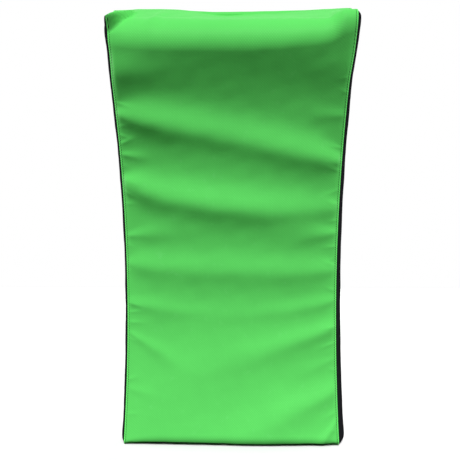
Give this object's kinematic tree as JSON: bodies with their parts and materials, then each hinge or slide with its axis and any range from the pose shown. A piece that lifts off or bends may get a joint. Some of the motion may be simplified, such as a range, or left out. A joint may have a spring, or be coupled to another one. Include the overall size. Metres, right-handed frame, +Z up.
{
  "type": "strike shield",
  "caption": "Curved rugby strike shield: a foam pad in a zipped PVC cover, with padded arm straps and a carry handle on its back.",
  "frame": {"origin": "middle of the object's box in plan, on the surface that its foot stands on", "axes": "+Z up, along the shield's length; -Y the way its striking face looks; +X to the right as seen from in front of that face"},
  "size_m": [0.4544, 0.3376, 0.8162],
  "materials": {
    "green_pvc": "satin",
    "black_pvc": "satin",
    "sleeve_pvc": "satin",
    "webbing": "matte",
    "soft_foam": "matte",
    "dense_foam": "matte",
    "stiff_foam": "matte",
    "zip_tape": "matte",
    "zip_plastic": "satin",
    "plated_metal": "polished"
  },
  "bodies": {
    "shield": {"front_cover": "green_pvc", "left_gusset": "black_pvc", "right_gusset": "black_pvc", "back_panel": "black_pvc", "foot_panel": "black_pvc", "impact_foam": "soft_foam", "core_foam": "dense_foam", "backing_foam": "stiff_foam", "zip_tape_upper": "zip_tape", "zip_tape_lower": "zip_tape", "zip_teeth_upper": "zip_plastic", "zip_teeth_lower": "zip_plastic", "zip_stop_left": "plated_metal", "zip_stop_right": "plated_metal", "left_arm_strap": "webbing", "left_arm_sleeve": "sleeve_pvc", "left_arm_padding": "dense_foam", "left_lower_patch": "black_pvc", "left_upper_patch": "black_pvc", "right_arm_strap": "webbing", "right_arm_sleeve": "sleeve_pvc", "right_arm_padding": "dense_foam", "right_lower_patch": "black_pvc", "right_upper_patch": "black_pvc", "carry_handle": "webbing", "carry_grip": "sleeve_pvc", "handle_left_patch": "black_pvc", "handle_right_patch": "black_pvc", "left_lower_eyelet": "plated_metal", "left_lower_eyelet_washer": "plated_metal", "left_upper_eyelet": "plated_metal", "left_upper_eyelet_washer": "plated_metal", "right_lower_eyelet": "plated_metal", "right_lower_eyelet_washer": "plated_metal", "right_upper_eyelet": "plated_metal", "right_upper_eyelet_washer": "plated_metal"},
    "slider": {"zip_slider": "plated_metal", "zip_slider_underplate": "plated_metal"},
    "pull": {"zip_pull": "plated_metal"}
  },
  "joints": [
    {"name": "zip_slide", "type": "slide", "parent": "shield", "child": "slider", "axis": [1, 0, 0], "range_m": [0, 0.358]},
    {"name": "zip_pull_swing", "type": "hinge", "parent": "slider", "child": "pull", "pos_m": [-0.179, 0.08224, 0.0701], "axis": [0, 0.1647, 0.9863], "range_deg": [0, 180]}
  ]
}
